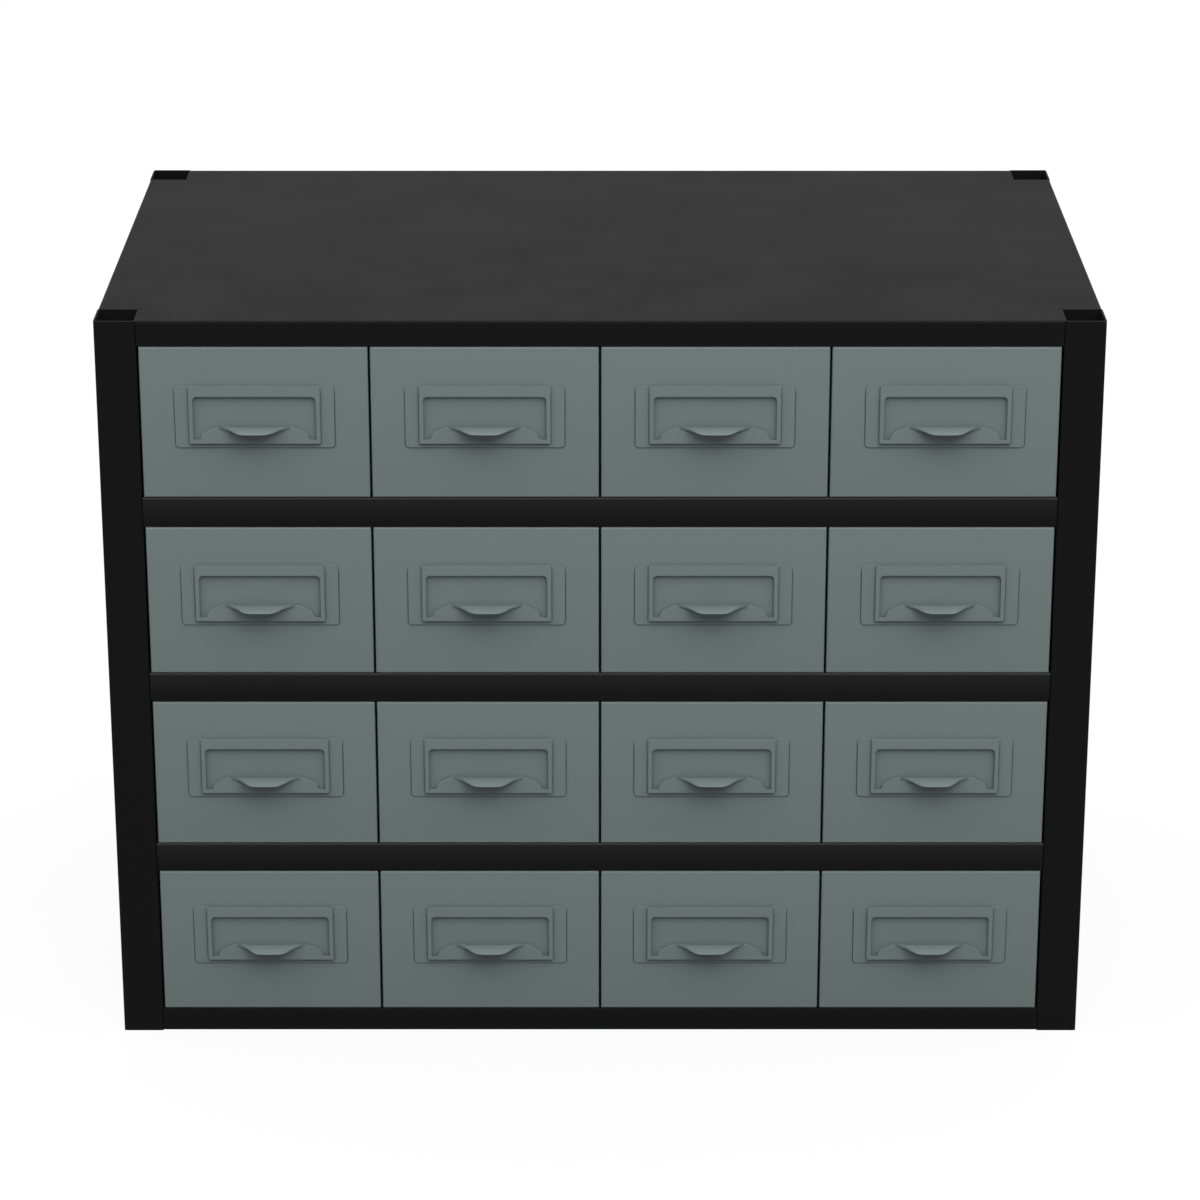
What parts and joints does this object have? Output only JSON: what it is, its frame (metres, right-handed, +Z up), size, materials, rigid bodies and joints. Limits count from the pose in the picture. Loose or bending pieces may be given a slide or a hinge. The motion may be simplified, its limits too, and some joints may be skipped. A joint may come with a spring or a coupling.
{
  "type": "parts bin cabinet",
  "caption": "Steel parts bin cabinet: a welded open-post frame with shelves and sliding drawers, each with a stamped card holder and finger lip.",
  "frame": {"origin": "middle of the flat underside of the bottom pan, on which the cabinet stands", "axes": "+Z up; +X to the right seen from the front; +Y from the drawer fronts to the back panel"},
  "size_m": [0.9144, 0.563, 0.71],
  "materials": {
    "frame_black": "satin black powder coat",
    "drawer_grey": "satin blue-grey powder coat"
  },
  "bodies": {
    "cabinet": {"bottom_pan": "frame_black", "top_pan": "frame_black", "base_deck": "frame_black", "shelf_a": "frame_black", "shelf_b": "frame_black", "shelf_c": "frame_black", "post_front_left": "frame_black", "post_front_right": "frame_black", "post_rear_left": "frame_black", "post_rear_right": "frame_black", "side_panel_left": "frame_black", "side_panel_right": "frame_black", "back_panel": "frame_black", "partition_a1": "frame_black", "partition_a2": "frame_black", "partition_a3": "frame_black", "partition_b1": "frame_black", "partition_b2": "frame_black", "partition_b3": "frame_black", "partition_c1": "frame_black", "partition_c2": "frame_black", "partition_c3": "frame_black", "partition_d1": "frame_black", "partition_d2": "frame_black", "partition_d3": "frame_black", "side_guides_left": "frame_black", "side_guides_right": "frame_black"},
    "bin_a1": {"drawer_a1": "drawer_grey", "drawer_a1_pull": "drawer_grey"},
    "bin_a2": {"drawer_a2": "drawer_grey", "drawer_a2_pull": "drawer_grey"},
    "bin_a3": {"drawer_a3": "drawer_grey", "drawer_a3_pull": "drawer_grey"},
    "bin_a4": {"drawer_a4": "drawer_grey", "drawer_a4_pull": "drawer_grey"},
    "bin_b1": {"drawer_b1": "drawer_grey", "drawer_b1_pull": "drawer_grey"},
    "bin_b2": {"drawer_b2": "drawer_grey", "drawer_b2_pull": "drawer_grey"},
    "bin_b3": {"drawer_b3": "drawer_grey", "drawer_b3_pull": "drawer_grey"},
    "bin_b4": {"drawer_b4": "drawer_grey", "drawer_b4_pull": "drawer_grey"},
    "bin_c1": {"drawer_c1": "drawer_grey", "drawer_c1_pull": "drawer_grey"},
    "bin_c2": {"drawer_c2": "drawer_grey", "drawer_c2_pull": "drawer_grey"},
    "bin_c3": {"drawer_c3": "drawer_grey", "drawer_c3_pull": "drawer_grey"},
    "bin_c4": {"drawer_c4": "drawer_grey", "drawer_c4_pull": "drawer_grey"},
    "bin_d1": {"drawer_d1": "drawer_grey", "drawer_d1_pull": "drawer_grey"},
    "bin_d2": {"drawer_d2": "drawer_grey", "drawer_d2_pull": "drawer_grey"},
    "bin_d3": {"drawer_d3": "drawer_grey", "drawer_d3_pull": "drawer_grey"},
    "bin_d4": {"drawer_d4": "drawer_grey", "drawer_d4_pull": "drawer_grey"}
  },
  "joints": [
    {"name": "bin_a1_slide", "type": "slide", "parent": "cabinet", "child": "bin_a1", "axis": [0, -1, 0], "range_m": [0, 0.4]},
    {"name": "bin_a2_slide", "type": "slide", "parent": "cabinet", "child": "bin_a2", "axis": [0, -1, 0], "range_m": [0, 0.4]},
    {"name": "bin_a3_slide", "type": "slide", "parent": "cabinet", "child": "bin_a3", "axis": [0, -1, 0], "range_m": [0, 0.4]},
    {"name": "bin_a4_slide", "type": "slide", "parent": "cabinet", "child": "bin_a4", "axis": [0, -1, 0], "range_m": [0, 0.4]},
    {"name": "bin_b1_slide", "type": "slide", "parent": "cabinet", "child": "bin_b1", "axis": [0, -1, 0], "range_m": [0, 0.4]},
    {"name": "bin_b2_slide", "type": "slide", "parent": "cabinet", "child": "bin_b2", "axis": [0, -1, 0], "range_m": [0, 0.4]},
    {"name": "bin_b3_slide", "type": "slide", "parent": "cabinet", "child": "bin_b3", "axis": [0, -1, 0], "range_m": [0, 0.4]},
    {"name": "bin_b4_slide", "type": "slide", "parent": "cabinet", "child": "bin_b4", "axis": [0, -1, 0], "range_m": [0, 0.4]},
    {"name": "bin_c1_slide", "type": "slide", "parent": "cabinet", "child": "bin_c1", "axis": [0, -1, 0], "range_m": [0, 0.4]},
    {"name": "bin_c2_slide", "type": "slide", "parent": "cabinet", "child": "bin_c2", "axis": [0, -1, 0], "range_m": [0, 0.4]},
    {"name": "bin_c3_slide", "type": "slide", "parent": "cabinet", "child": "bin_c3", "axis": [0, -1, 0], "range_m": [0, 0.4]},
    {"name": "bin_c4_slide", "type": "slide", "parent": "cabinet", "child": "bin_c4", "axis": [0, -1, 0], "range_m": [0, 0.4]},
    {"name": "bin_d1_slide", "type": "slide", "parent": "cabinet", "child": "bin_d1", "axis": [0, -1, 0], "range_m": [0, 0.4]},
    {"name": "bin_d2_slide", "type": "slide", "parent": "cabinet", "child": "bin_d2", "axis": [0, -1, 0], "range_m": [0, 0.4]},
    {"name": "bin_d3_slide", "type": "slide", "parent": "cabinet", "child": "bin_d3", "axis": [0, -1, 0], "range_m": [0, 0.4]},
    {"name": "bin_d4_slide", "type": "slide", "parent": "cabinet", "child": "bin_d4", "axis": [0, -1, 0], "range_m": [0, 0.4]}
  ]
}
